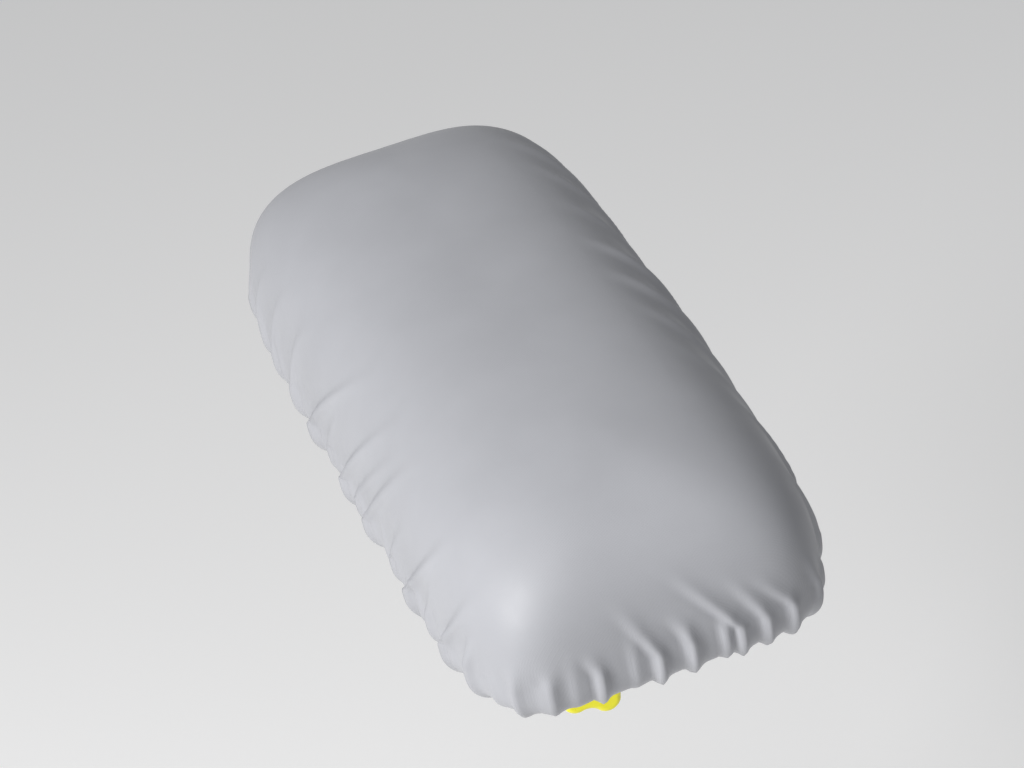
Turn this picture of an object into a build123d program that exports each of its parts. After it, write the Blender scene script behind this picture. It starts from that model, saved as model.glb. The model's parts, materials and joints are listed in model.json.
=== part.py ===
"""Padded armrest bolster of a treatment table, on a height-adjusting post that clamps in a bolt-on bracket.

Units are millimetres. The origin is the centre of the mounting plate's outer face. +X points out of that
face towards the table's frame, +Y runs along the bolster towards the table's head end, and +Z is up.
The bolster is modelled at its raised stop, with the clamp knob tight.
"""

import math
import os

from build123d import *

# ---- driving dimensions: the bolster ----
PAD_LENGTH = 385.0
PAD_WIDTH = 160.0
PAD_HEIGHT = 82.0
PAD_CORNER_R = 45.0
DOME_HEIGHT = 64.0
DOME_END = 100.0  # how far in from each end the crown starts to fall
DOME_FULLNESS = 0.75  # 1 is an ellipse's quarter, and smaller is squarer
DOME_SECTIONS = 9
DOME_TOP_ANGLE = 84.0
COVER_BOTTOM_R = 10.0

COVER_T = 1.0
VINYL_T = 1.2
WADDING_T = 3.0
BOARD_T = 12.0
BOARD_INSET = 10.0
CLOTH_T = 0.6
STAPLE_T = 0.6
SUPPORT_FOAM_T = 36.0
FOAM_BOTTOM_R = 2.0

COVER_FLAP = 36.0
VINYL_FLAP = 26.0
CLOTH_INSET = 16.0
HEM_WIDTH = 7.0
HEM_DEPTH = 4.6
HEM_WALL = 0.9
COVER_GAP = 0.2  # between the cover and the staples above it
ELASTIC_WIDTH = 4.2
ELASTIC_T = 1.2

STAPLE_CROWN = 10.0
STAPLE_WIRE = 1.1
STAPLE_INSET = 21.0
STAPLES_ALONG = 14
STAPLES_ACROSS = 4

# ---- driving dimensions: the fasteners in the board ----
TEE_FLANGE_R = 9.5
TEE_FLANGE_T = 1.4
TEE_BARREL_R = 3.9
TEE_BARREL = 9.0
SCREW_R = 3.0
SCREW_HEAD_R = 5.5
SCREW_HEAD_T = 3.3
SCREW_HEAD_ROUND = 2.4
SCREW_LENGTH = 16.0
HEX_ACROSS = 4.0
THREAD_GAP = 0.05
WASHER_R = 6.4
WASHER_T = 1.2

# ---- driving dimensions: the support ----
DROP = 60.0
OUTREACH = 94.0  # from the mounting face back to the centre line of the post and the bolster
PAD_SHIFT = -30.0  # the bolster's middle, along Y, from the post
POST_W = 30.0
POST_WALL = 2.0
POST_CORNER_R = 3.0
SOCKET_W = 40.0
SOCKET_WALL = 2.5
SOCKET_CORNER_R = 4.0
SOCKET_HEIGHT = 64.0
GUIDE_LENGTH = 22.0
GUIDE_FLANGE_T = 3.0
GUIDE_CLEARANCE = 0.2
BUMPER_T = 5.0
BUMPER_CLEARANCE = 1.2
STOP_GAP = 0.2
END_CAP_W = 36.0
END_CAP_T = 4.0
END_CAP_PLUG = 12.0
END_CAP_CHAMFER = 1.2

PAD_PLATE_T = 4.0
PAD_PLATE_X = 64.0
PAD_PLATE_Y = 124.0
PLATE_CORNER_R = 8.0
PAD_SCREW_X = 44.0
PAD_SCREW_Y = 96.0

MOUNT_PLATE_T = 6.0
MOUNT_PLATE_Y = 90.0
MOUNT_PLATE_Z = 64.0
MOUNT_BOLT_Y = 66.0
MOUNT_BOLT_Z = 40.0
MOUNT_HOLE_R = 4.5
ARM_Y = 30.0
ARM_Z = 50.0
ARM_WALL = 3.0
ARM_CORNER_R = 4.0
ARM_INNER_R = 1.5

# ---- driving dimensions: the clamp ----
HOUSING_W = 26.0
HOUSING_DEPTH = 24.0
HOUSING_CORNER_R = 3.0
SHOE_W = 16.0
SHOE_LENGTH = 16.0
SHOE_CLEARANCE = 0.2
SPINDLE_R = 4.0
SPINDLE_CLEARANCE = 0.1
COLLAR_R = 7.0
COLLAR_T = 3.0
COLLAR_CLEARANCE = 0.2
INNER_WALL_T = 3.0
RETAINER_T = 3.0
RETAINER_SCREW_R = 1.25
RETAINER_SCREW_REACH = 7.0
RETAINER_SCREW_SPREAD = 9.3
RETAINER_HEAD_R = 2.3
RETAINER_HEAD_T = 1.5
RETAINER_HEAD_ROUND = 0.8
KNOB_R = 19.0
KNOB_T = 15.0
KNOB_HUB_R = 10.0
KNOB_HUB_T = 8.0
KNOB_LOBES = 5
LOBE_R = 6.5
VALLEY_R = 7.0
KNOB_FRONT_ROUND = 3.0
KNOB_BACK_ROUND = 1.5
KNOB_GAP = 6.0  # between the retaining plate and the knob's hub
KNOB_SINK = 9.0  # how far the spindle reaches past the hub
SPINDLE_REACH = 7.0  # how far the spindle's end stays from the post
SHOE_FRONT_T = 4.0
CAP_R = 6.5
CAP_T = 2.0
CAP_PROUD = 0.6
CAP_ROUND = 0.5

# ---- levels and places worked out from them ----
POST_X = -OUTREACH
SOCKET_TOP = SOCKET_HEIGHT / 2
BUMPER_TOP = SOCKET_TOP + GUIDE_FLANGE_T + BUMPER_T
PAD_PLATE_BOTTOM = BUMPER_TOP + STOP_GAP + DROP
PAD_PLATE_TOP = PAD_PLATE_BOTTOM + PAD_PLATE_T
BOARD_BOTTOM = PAD_PLATE_TOP + CLOTH_T
BOARD_TOP = BOARD_BOTTOM + BOARD_T
VINYL_BOTTOM = BOARD_BOTTOM - VINYL_T
CLOTH_LIP_BOTTOM = VINYL_BOTTOM - CLOTH_T
STAPLE_BOTTOM = CLOTH_LIP_BOTTOM - STAPLE_T
COVER_BOTTOM = STAPLE_BOTTOM - COVER_GAP - COVER_T
PAD_TOP = COVER_BOTTOM + PAD_HEIGHT
DOME_BASE = PAD_TOP - DOME_HEIGHT
FOAM_SPLIT = BOARD_TOP + SUPPORT_FOAM_T
POST_BOTTOM = -SOCKET_TOP - GUIDE_FLANGE_T - STOP_GAP
SOCKET_FACE_Y = -SOCKET_W / 2
HOUSING_FACE_Y = SOCKET_FACE_Y - HOUSING_DEPTH
RETAINER_FACE_Y = HOUSING_FACE_Y - RETAINER_T
SHOE_FACE_Y = -POST_W / 2
KNOB_BACK_Y = RETAINER_FACE_Y - KNOB_GAP
SPINDLE_END_Y = SHOE_FACE_Y - SPINDLE_REACH

PAD_SCREWS = [(POST_X + sx * PAD_SCREW_X / 2, sy * PAD_SCREW_Y / 2) for sx in (-1, 1) for sy in (-1, 1)]
RETAINER_SCREWS = [
    (POST_X - RETAINER_SCREW_SPREAD, RETAINER_SCREW_SPREAD),
    (POST_X + RETAINER_SCREW_SPREAD, -RETAINER_SCREW_SPREAD),
]


# ---- outlines and helpers ----
def rounded_plan(inset):
    """The bolster's outline seen from above, drawn in by inset, on the XY plane."""
    radius = max(PAD_CORNER_R - inset, 4.0)
    outline = RectangleRounded(PAD_WIDTH - 2 * inset, PAD_LENGTH - 2 * inset, radius)
    return Pos(POST_X, PAD_SHIFT) * outline


def slab(face, low, high):
    """A face drawn on the XY plane, extruded from height low to height high."""
    return Pos(0, 0, low) * extrude(face, high - low)


def dome(inset):
    """The crowned upper part: rounded outlines that shrink as they rise along a rounded profile."""
    sections = []
    for i in range(DOME_SECTIONS):
        angle = math.radians(DOME_TOP_ANGLE) * i / (DOME_SECTIONS - 1)
        reach = math.cos(angle) ** DOME_FULLNESS
        rise = (math.sin(angle) / math.sin(math.radians(DOME_TOP_ANGLE))) ** DOME_FULLNESS
        length = PAD_LENGTH - 2 * DOME_END + 2 * (DOME_END - inset) * reach
        outline = RectangleRounded((PAD_WIDTH - 2 * inset) * reach, length, (PAD_CORNER_R - inset) * reach)
        sections.append(Pos(POST_X, PAD_SHIFT, DOME_BASE + (DOME_HEIGHT - inset) * rise) * outline)
    return loft(sections)


def padded_form(inset, low, bottom_r):
    """The bolster's body drawn in by inset: a dome on straight sides, with a rounded edge at height low."""
    base = slab(rounded_plan(inset), low, DOME_BASE)
    base = fillet(base.edges().group_by(Axis.Z)[0], bottom_r)
    return base + dome(inset)


def square_tube(width, wall, corner_r, low, high):
    """An upright square tube about the post's axis."""
    outer = RectangleRounded(width, width, corner_r)
    inner = RectangleRounded(width - 2 * wall, width - 2 * wall, max(corner_r - wall, 0.6))
    return Pos(POST_X, 0) * slab(outer - inner, low, high)


def rod_y(radius, start, end):
    """A round bar along Y on the clamp's axis, from start to end."""
    middle = (start + end) / 2
    return Pos(POST_X, middle, 0) * Rot(90, 0, 0) * Cylinder(radius, abs(end - start))


def block_y(width, height, start, end):
    """A square-edged block on the clamp's axis, from start to end along Y."""
    return Pos(POST_X, (start + end) / 2, 0) * Box(width, abs(end - start), height)


# ---- the bolster, from the outside in ----
def fitted_cover():
    shell = padded_form(0, COVER_BOTTOM, COVER_BOTTOM_R)
    shell -= padded_form(COVER_T, COVER_BOTTOM + COVER_T, COVER_BOTTOM_R - COVER_T)
    return shell - slab(rounded_plan(COVER_FLAP), COVER_BOTTOM - 1, COVER_BOTTOM + COVER_T + 1)


def hem_ring(outer_inset, inner_inset, low, high):
    return slab(rounded_plan(outer_inset) - rounded_plan(inner_inset), low, high)


def cover_hem():
    inner = COVER_FLAP + 1.0
    outer = inner - HEM_WIDTH
    ring = hem_ring(outer, inner, COVER_BOTTOM - HEM_DEPTH, COVER_BOTTOM)
    channel = hem_ring(
        outer + HEM_WALL, inner - HEM_WALL, COVER_BOTTOM - HEM_DEPTH + HEM_WALL, COVER_BOTTOM - HEM_WALL
    )
    return ring - channel


def hem_elastic():
    middle = COVER_FLAP + 1.0 - HEM_WIDTH / 2
    height = COVER_BOTTOM - HEM_DEPTH / 2
    return hem_ring(
        middle - ELASTIC_WIDTH / 2, middle + ELASTIC_WIDTH / 2, height - ELASTIC_T / 2, height + ELASTIC_T / 2
    )


def vinyl_upholstery():
    inner_inset = COVER_T + VINYL_T
    shell = padded_form(COVER_T, VINYL_BOTTOM, COVER_BOTTOM_R - COVER_T)
    shell -= padded_form(inner_inset, BOARD_BOTTOM, COVER_BOTTOM_R - inner_inset)
    return shell - slab(rounded_plan(VINYL_FLAP), VINYL_BOTTOM - 1, BOARD_BOTTOM + 1)


def foam_block():
    return padded_form(COVER_T + VINYL_T + WADDING_T, BOARD_TOP, FOAM_BOTTOM_R)


def fibre_wrap():
    outer_inset = COVER_T + VINYL_T
    wrap = padded_form(outer_inset, BOARD_BOTTOM, COVER_BOTTOM_R - outer_inset) - foam_block()
    return wrap - slab(rounded_plan(BOARD_INSET), BOARD_BOTTOM, BOARD_TOP + FOAM_BOTTOM_R)


def comfort_foam():
    return foam_block() & slab(rounded_plan(0), FOAM_SPLIT, PAD_TOP)


def support_foam():
    return foam_block() & slab(rounded_plan(0), BOARD_TOP, FOAM_SPLIT)


def base_board():
    board = slab(rounded_plan(BOARD_INSET), BOARD_BOTTOM, BOARD_TOP)
    for x, y in PAD_SCREWS:
        board -= Pos(x, y, BOARD_BOTTOM + BOARD_T / 2) * Cylinder(TEE_BARREL_R, BOARD_T)
        board -= Pos(x, y, BOARD_TOP - TEE_FLANGE_T / 2) * Cylinder(TEE_FLANGE_R + 0.3, TEE_FLANGE_T)
    return board


def tee_nuts():
    bore = Cylinder(SCREW_R + THREAD_GAP, 2 * BOARD_T)
    flange = Pos(0, 0, -TEE_FLANGE_T / 2) * Cylinder(TEE_FLANGE_R, TEE_FLANGE_T)
    barrel = Pos(0, 0, -TEE_BARREL / 2) * Cylinder(TEE_BARREL_R, TEE_BARREL)
    return [Pos(x, y, BOARD_TOP) * (flange + barrel - bore) for x, y in PAD_SCREWS]


def underside_cloth():
    """A thin sheet on the board that steps down over the vinyl's turned-under edge."""
    lip = slab(rounded_plan(CLOTH_INSET), CLOTH_LIP_BOTTOM, VINYL_BOTTOM)
    tray = slab(rounded_plan(VINYL_FLAP), CLOTH_LIP_BOTTOM, BOARD_BOTTOM)
    hollow = slab(rounded_plan(VINYL_FLAP + CLOTH_T), CLOTH_LIP_BOTTOM - 1, BOARD_BOTTOM - CLOTH_T)
    sheet = lip + tray - hollow
    for x, y in PAD_SCREWS:
        sheet -= Pos(x, y, BOARD_BOTTOM) * Cylinder(SCREW_R + 0.5, 4 * CLOTH_T)
    return sheet


def staples():
    """The crowns of the staples that hold the cloth's lip and the vinyl to the board."""
    middle = STAPLE_BOTTOM + STAPLE_T / 2
    side_x = PAD_WIDTH / 2 - STAPLE_INSET
    end_y = PAD_LENGTH / 2 - STAPLE_INSET
    straight_y = PAD_LENGTH / 2 - PAD_CORNER_R - STAPLE_CROWN
    straight_x = PAD_WIDTH / 2 - PAD_CORNER_R
    made = []
    for side in (-1, 1):
        for i in range(STAPLES_ALONG):
            y = -straight_y + 2 * straight_y * i / (STAPLES_ALONG - 1)
            place = Pos(POST_X + side * side_x, PAD_SHIFT + y, middle)
            made.append(place * Box(STAPLE_WIRE, STAPLE_CROWN, STAPLE_T))
        for i in range(STAPLES_ACROSS):
            x = -straight_x + 2 * straight_x * i / (STAPLES_ACROSS - 1)
            place = Pos(POST_X + x, PAD_SHIFT + side * end_y, middle)
            made.append(place * Box(STAPLE_CROWN, STAPLE_WIRE, STAPLE_T))
    return made


# ---- the post and what fastens it to the bolster ----
def pad_plate():
    plate = Pos(POST_X, 0) * slab(
        RectangleRounded(PAD_PLATE_X, PAD_PLATE_Y, PLATE_CORNER_R), PAD_PLATE_BOTTOM, PAD_PLATE_TOP
    )
    for x, y in PAD_SCREWS:
        plate -= Pos(x, y, PAD_PLATE_TOP) * Cylinder(SCREW_R + 0.3, 3 * PAD_PLATE_T)
    return plate


def plate_washers():
    ring = Circle(WASHER_R) - Circle(SCREW_R + 0.2)
    return [Pos(x, y) * slab(ring, PAD_PLATE_BOTTOM - WASHER_T, PAD_PLATE_BOTTOM) for x, y in PAD_SCREWS]


def plate_screws():
    seat = PAD_PLATE_BOTTOM - WASHER_T
    head = fillet(Cylinder(SCREW_HEAD_R, SCREW_HEAD_T).edges().sort_by(Axis.Z)[0], SCREW_HEAD_ROUND)
    socket = extrude(RegularPolygon(HEX_ACROSS / 2, 6, major_radius=False), SCREW_HEAD_T)
    head -= Pos(0, 0, -SCREW_HEAD_T * 1.15) * socket
    shank = Pos(0, 0, SCREW_HEAD_T / 2 + SCREW_LENGTH / 2) * Cylinder(SCREW_R, SCREW_LENGTH)
    return [Pos(x, y, seat - SCREW_HEAD_T / 2) * (head + shank) for x, y in PAD_SCREWS]


def post_tube():
    return square_tube(POST_W, POST_WALL, POST_CORNER_R, POST_BOTTOM, PAD_PLATE_BOTTOM)


def post_end_cap():
    """A plug in the foot of the post whose flange is too wide for the lower guide: it is the raised stop."""
    plug_w = POST_W - 2 * POST_WALL - 0.2
    flange = slab(RectangleRounded(END_CAP_W, END_CAP_W, SOCKET_CORNER_R), POST_BOTTOM - END_CAP_T, POST_BOTTOM)
    flange = chamfer(flange.edges().group_by(Axis.Z)[0], END_CAP_CHAMFER)
    plug = slab(RectangleRounded(plug_w, plug_w, 0.8), POST_BOTTOM, POST_BOTTOM + END_CAP_PLUG)
    return Pos(POST_X, 0) * (flange + plug)


# ---- the bracket ----
def mounting_plate():
    face = Rot(0, 90, 0) * RectangleRounded(MOUNT_PLATE_Z, MOUNT_PLATE_Y, PLATE_CORNER_R)
    plate = extrude(Pos(-MOUNT_PLATE_T, 0, 0) * face, MOUNT_PLATE_T, dir=(1, 0, 0))
    for sy in (-1, 1):
        for sz in (-1, 1):
            hole = Rot(0, 90, 0) * Cylinder(MOUNT_HOLE_R, 3 * MOUNT_PLATE_T)
            plate -= Pos(0, sy * MOUNT_BOLT_Y / 2, sz * MOUNT_BOLT_Z / 2) * hole
    return plate


def bracket_arm():
    """A box-section arm between the socket and the mounting plate."""
    start = POST_X + SOCKET_W / 2
    end = -MOUNT_PLATE_T
    outer = Box(end - start, ARM_Y, ARM_Z)
    outer = fillet(outer.edges().filter_by(Axis.X), ARM_CORNER_R)
    inner = Box(end - start + 2, ARM_Y - 2 * ARM_WALL, ARM_Z - 2 * ARM_WALL)
    inner = fillet(inner.edges().filter_by(Axis.X), ARM_INNER_R)
    return Pos((start + end) / 2, 0, 0) * (outer - inner)


def socket_tube():
    tube = square_tube(SOCKET_W, SOCKET_WALL, SOCKET_CORNER_R, -SOCKET_TOP, SOCKET_TOP)
    opening = SHOE_W + 2 * SHOE_CLEARANCE
    return tube - block_y(opening, opening, SOCKET_FACE_Y - 1, SOCKET_FACE_Y + SOCKET_WALL + 1)


def guide(side):
    """A flanged plastic bush in the upper (side 1) or lower (side -1) end of the socket."""
    bore_w = POST_W + 2 * GUIDE_CLEARANCE
    body_w = SOCKET_W - 2 * SOCKET_WALL - 0.1
    bore = RectangleRounded(bore_w, bore_w, POST_CORNER_R)
    body = RectangleRounded(body_w, body_w, SOCKET_CORNER_R - SOCKET_WALL) - bore
    flange = RectangleRounded(SOCKET_W, SOCKET_W, SOCKET_CORNER_R) - bore
    bush = slab(body, SOCKET_TOP - GUIDE_LENGTH, SOCKET_TOP)
    bush += slab(flange, SOCKET_TOP, SOCKET_TOP + GUIDE_FLANGE_T)
    if side < 0:
        bush = mirror(bush, Plane.XY)
    return Pos(POST_X, 0) * bush


def drop_bumper():
    """A rubber ring that the plate comes down on at the lowered stop."""
    hole_w = POST_W + 2 * BUMPER_CLEARANCE
    ring = RectangleRounded(SOCKET_W, SOCKET_W, SOCKET_CORNER_R)
    ring -= RectangleRounded(hole_w, hole_w, SOCKET_CORNER_R)
    ring = slab(ring, BUMPER_TOP - BUMPER_T, BUMPER_TOP)
    return Pos(POST_X, 0) * ring


# ---- the clamp ----
def clamp_housing():
    """Square boss on the socket: guides the shoe, and holds the spindle's collar in a counterbore."""
    bore = SHOE_W + 2 * SHOE_CLEARANCE
    wall_y = HOUSING_FACE_Y + COLLAR_T + COLLAR_CLEARANCE + INNER_WALL_T
    boss = block_y(HOUSING_W, HOUSING_W, HOUSING_FACE_Y, SOCKET_FACE_Y)
    boss = fillet(boss.edges().filter_by(Axis.Y), HOUSING_CORNER_R)
    boss -= block_y(bore, bore, wall_y, SOCKET_FACE_Y)
    boss -= rod_y(SPINDLE_R + SPINDLE_CLEARANCE, HOUSING_FACE_Y, wall_y)
    boss -= rod_y(COLLAR_R + COLLAR_CLEARANCE, HOUSING_FACE_Y, wall_y - INNER_WALL_T)
    for x, z in RETAINER_SCREWS:
        boss -= Pos(x, HOUSING_FACE_Y, z) * Rot(90, 0, 0) * Cylinder(RETAINER_SCREW_R, 2 * RETAINER_SCREW_REACH)
    return boss


def retaining_plate():
    plate = block_y(HOUSING_W, HOUSING_W, RETAINER_FACE_Y, HOUSING_FACE_Y)
    plate = fillet(plate.edges().filter_by(Axis.Y), HOUSING_CORNER_R)
    plate -= rod_y(SPINDLE_R + SPINDLE_CLEARANCE, RETAINER_FACE_Y, HOUSING_FACE_Y)
    for x, z in RETAINER_SCREWS:
        plate -= Pos(x, HOUSING_FACE_Y, z) * Rot(90, 0, 0) * Cylinder(RETAINER_SCREW_R + 0.15, 3 * RETAINER_T)
    return plate


def retaining_screws():
    made = []
    for x, z in RETAINER_SCREWS:
        shank_end = HOUSING_FACE_Y + RETAINER_SCREW_REACH - 0.5
        length = shank_end - RETAINER_FACE_Y
        shank = Rot(90, 0, 0) * Cylinder(RETAINER_SCREW_R - 0.03, length)
        shank = Pos(x, RETAINER_FACE_Y + length / 2, z) * shank
        head = Pos(x, RETAINER_FACE_Y - RETAINER_HEAD_T / 2, z) * Rot(90, 0, 0) * Cylinder(
            RETAINER_HEAD_R, RETAINER_HEAD_T
        )
        head = fillet(head.edges().sort_by(Axis.Y)[0], RETAINER_HEAD_ROUND)
        made.append(head + shank)
    return made


def clamp_spindle():
    """Captive screw: the collar keeps it in place along Y while its thread moves the shoe."""
    bar = rod_y(SPINDLE_R, KNOB_BACK_Y - KNOB_HUB_T - KNOB_SINK, SPINDLE_END_Y)
    collar_back = HOUSING_FACE_Y + COLLAR_T
    return bar + rod_y(COLLAR_R, HOUSING_FACE_Y + COLLAR_CLEARANCE / 2, collar_back)


def lobed_outline():
    """Round lobes joined by hollow arcs that touch each pair of neighbours."""
    reach = KNOB_R - LOBE_R
    step = 2 * math.pi / KNOB_LOBES
    half_gap = reach * math.sin(step / 2)
    valley_reach = reach * math.cos(step / 2) + math.sqrt((LOBE_R + VALLEY_R) ** 2 - half_gap**2)
    # the angle, at a lobe's centre, between straight outwards and the point where a hollow starts
    across = valley_reach * math.sin(step / 2)
    along = valley_reach * math.cos(step / 2) - reach
    meet = math.atan2(across, along)

    def lobe_point(index, angle):
        centre = step * index
        return (
            reach * math.cos(centre) + LOBE_R * math.cos(centre + angle),
            reach * math.sin(centre) + LOBE_R * math.sin(centre + angle),
        )

    edges = []
    for i in range(KNOB_LOBES):
        edges.append(ThreePointArc(lobe_point(i, -meet), lobe_point(i, 0), lobe_point(i, meet)))
        deepest = valley_reach - VALLEY_R
        middle = step * (i + 0.5)
        lowest = (deepest * math.cos(middle), deepest * math.sin(middle))
        edges.append(ThreePointArc(lobe_point(i, meet), lowest, lobe_point(i + 1, -meet)))
    return make_face(edges)


def clamp_knob():
    """A lobed knob with a round hub at its back and a recess for its cap."""
    wheel = extrude(lobed_outline(), KNOB_T)
    wheel = fillet(wheel.edges().group_by(Axis.Z)[-1], KNOB_FRONT_ROUND)
    wheel = fillet(wheel.edges().group_by(Axis.Z)[0], KNOB_BACK_ROUND)
    knob = wheel + Pos(0, 0, -KNOB_HUB_T / 2) * Cylinder(KNOB_HUB_R, KNOB_HUB_T)
    bore_depth = KNOB_HUB_T + KNOB_SINK
    knob -= Pos(0, 0, -KNOB_HUB_T + bore_depth / 2) * Cylinder(SPINDLE_R, bore_depth)
    knob -= Pos(0, 0, KNOB_T - CAP_T / 2) * Cylinder(CAP_R, CAP_T)
    return Pos(POST_X, KNOB_BACK_Y - KNOB_HUB_T, 0) * Rot(90, 0, 0) * knob


def knob_cap():
    disc = Pos(0, 0, (CAP_T + CAP_PROUD) / 2) * Cylinder(CAP_R, CAP_T + CAP_PROUD)
    disc = fillet(disc.edges().sort_by(Axis.Z)[-1], CAP_ROUND)
    return Pos(POST_X, KNOB_BACK_Y - KNOB_HUB_T - KNOB_T + CAP_T, 0) * Rot(90, 0, 0) * disc


def pressure_shoe():
    """Square brass shoe that the spindle presses against the post."""
    shoe = block_y(SHOE_W, SHOE_W, SHOE_FACE_Y - SHOE_LENGTH, SHOE_FACE_Y)
    return shoe - rod_y(SPINDLE_R + THREAD_GAP, SHOE_FACE_Y - SHOE_LENGTH, SHOE_FACE_Y - SHOE_FRONT_T)


PARTS = {
    "fitted_cover": fitted_cover,
    "cover_hem": cover_hem,
    "hem_elastic": hem_elastic,
    "vinyl_upholstery": vinyl_upholstery,
    "fibre_wrap": fibre_wrap,
    "comfort_foam": comfort_foam,
    "support_foam": support_foam,
    "base_board": base_board,
    "tee_nuts": tee_nuts,
    "underside_cloth": underside_cloth,
    "staples": staples,
    "pad_plate": pad_plate,
    "plate_washers": plate_washers,
    "plate_screws": plate_screws,
    "post_tube": post_tube,
    "post_end_cap": post_end_cap,
    "mounting_plate": mounting_plate,
    "bracket_arm": bracket_arm,
    "socket_tube": socket_tube,
    "upper_guide": lambda: guide(1),
    "lower_guide": lambda: guide(-1),
    "drop_bumper": drop_bumper,
    "clamp_housing": clamp_housing,
    "retaining_plate": retaining_plate,
    "retaining_screws": retaining_screws,
    "clamp_spindle": clamp_spindle,
    "clamp_knob": clamp_knob,
    "knob_cap": knob_cap,
    "pressure_shoe": pressure_shoe,
}

os.makedirs("parts", exist_ok=True)
for name, make in PARTS.items():
    made = make()
    solids = made if isinstance(made, list) else made.solids()
    export_step(Compound(children=list(solids)), f"parts/{name}.step")
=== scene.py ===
"""The looks of a padded armrest bolster in a fitted stretch cover, on its clamped post and bracket.

All lengths are in metres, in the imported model's frame. The cover is a real sheet: it is cut a little full,
drawn under the board by its elastic hem, and simulated as cloth over the bolster's body.
"""

import json
import math

import bpy
import numpy as np
from mathutils import Matrix, Vector

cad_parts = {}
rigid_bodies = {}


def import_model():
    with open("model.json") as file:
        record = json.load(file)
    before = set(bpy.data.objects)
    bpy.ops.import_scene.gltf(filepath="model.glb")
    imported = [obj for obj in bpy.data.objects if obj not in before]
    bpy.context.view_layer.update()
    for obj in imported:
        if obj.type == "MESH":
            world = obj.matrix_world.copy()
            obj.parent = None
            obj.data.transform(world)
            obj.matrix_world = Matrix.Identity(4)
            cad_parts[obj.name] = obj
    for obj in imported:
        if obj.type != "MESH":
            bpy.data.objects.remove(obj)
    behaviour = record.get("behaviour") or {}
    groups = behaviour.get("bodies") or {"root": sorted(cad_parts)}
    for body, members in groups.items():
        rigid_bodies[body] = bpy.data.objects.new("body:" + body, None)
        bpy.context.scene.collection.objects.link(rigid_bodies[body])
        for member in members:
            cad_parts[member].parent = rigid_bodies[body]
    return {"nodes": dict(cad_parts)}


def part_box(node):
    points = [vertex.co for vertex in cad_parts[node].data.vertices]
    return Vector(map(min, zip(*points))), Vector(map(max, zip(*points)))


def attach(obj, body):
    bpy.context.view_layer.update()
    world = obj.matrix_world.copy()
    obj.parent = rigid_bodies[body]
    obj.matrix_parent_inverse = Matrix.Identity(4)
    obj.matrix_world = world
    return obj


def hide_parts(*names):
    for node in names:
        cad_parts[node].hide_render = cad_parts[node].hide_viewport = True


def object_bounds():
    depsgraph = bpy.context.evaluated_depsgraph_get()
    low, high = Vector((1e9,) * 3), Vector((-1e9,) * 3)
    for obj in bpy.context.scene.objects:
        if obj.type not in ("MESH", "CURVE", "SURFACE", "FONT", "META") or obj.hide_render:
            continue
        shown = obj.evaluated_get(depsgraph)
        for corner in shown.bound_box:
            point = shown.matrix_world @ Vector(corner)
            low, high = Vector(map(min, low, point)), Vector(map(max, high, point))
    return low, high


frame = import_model()
cad_low, cad_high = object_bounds()

MM = 0.001
SEED = 11

# ---- the bolster's places, from the frame ----
cover_low, cover_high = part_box("fitted_cover")
CENTRE = (cover_low + cover_high) / 2
MIDDLE = [CENTRE.x, CENTRE.y, 0]
HALF_X = (cover_high.x - cover_low.x) / 2
HALF_Y = (cover_high.y - cover_low.y) / 2
COVER_BOTTOM = cover_low.z
COVER_TOP = cover_high.z

# ---- the bolster's form ----
# The crown is a stack of superellipses. Their reach goes from 0 at the middle of the crown to 1 at the rim,
# which is the bolster's widest line.
DOME_H = 64 * MM
RIM_Z = COVER_TOP - DOME_H
END_FALL = 100 * MM  # how far the crown slopes in from each end
PLAN_SQUARENESS = 6.4  # the superellipse's power at the rim
CROWN_SQUARENESS = 2.3  # and at the middle of the crown
FULLNESS = 0.75  # the less, the squarer the crown's section is
PATCH_REACH = 0.6  # a grid fills the crown's middle up to here
BOTTOM_R = 12 * MM
HEM_INSET = 33 * MM
HEM_SQUARENESS = 9
OUTLINE_SAMPLES = 3001
DOME_SAMPLES = 4001
LEAST_REACH = 0.02
HALVINGS = 30

# ---- the cover's cloth ----
CLOTH_SPACING = 3.0 * MM
CLOTH_COLUMNS = (124, 50)  # points along each long and each short side
CLOTH_RINGS_UP = 21  # rings above the rim that settle
CLOTH_FRAMES = 20
COVER_T = 0.8 * MM


# ---- outlines and skins ----
def side_points(half_x, half_y, squareness, count, along_y):
    """Evenly spaced points along one side of a superellipse, from corner to corner, without the last."""
    limit = 2 ** (-1 / squareness)
    free = np.linspace(-limit, limit, OUTLINE_SAMPLES)
    other = (1 - np.abs(free) ** squareness) ** (1 / squareness)
    x, y = (half_x * other, half_y * free) if along_y else (-half_x * free, half_y * other)
    run = np.concatenate([[0], np.cumsum(np.hypot(np.diff(x), np.diff(y)))])
    at = np.linspace(0, run[-1], count + 1)[:-1]
    return np.interp(at, run, x), np.interp(at, run, y)


def outline(half_x, half_y, squareness, columns):
    """The closed outline, counter-clockwise from the corner at +X -Y: right, far, left and near sides."""
    right_x, right_y = side_points(half_x, half_y, squareness, columns[0], True)
    far_x, far_y = side_points(half_x, half_y, squareness, columns[1], False)
    x = np.concatenate([right_x, far_x, -right_x, -far_x])
    y = np.concatenate([right_y, far_y, -right_y, -far_y])
    return np.stack([x, y], -1)


def outward(points):
    """Unit outward normals of a closed, counter-clockwise outline."""
    along = np.roll(points, -1, 0) - np.roll(points, 1, 0)
    normal = np.stack([along[:, 1], -along[:, 0]], -1)
    return normal / np.linalg.norm(normal, axis=1, keepdims=True)


def squareness_at(reach):
    """The power of the crown's outline: the crown is rounder towards its middle."""
    return CROWN_SQUARENESS + (PLAN_SQUARENESS - CROWN_SQUARENESS) * reach**2


def half_sizes(reach, inset):
    """Half the width and length of the crown's outline, on a skin this far inside the cover."""
    return (HALF_X - inset) * reach, HALF_Y - inset - (END_FALL - inset) * (1 - reach)


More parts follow.
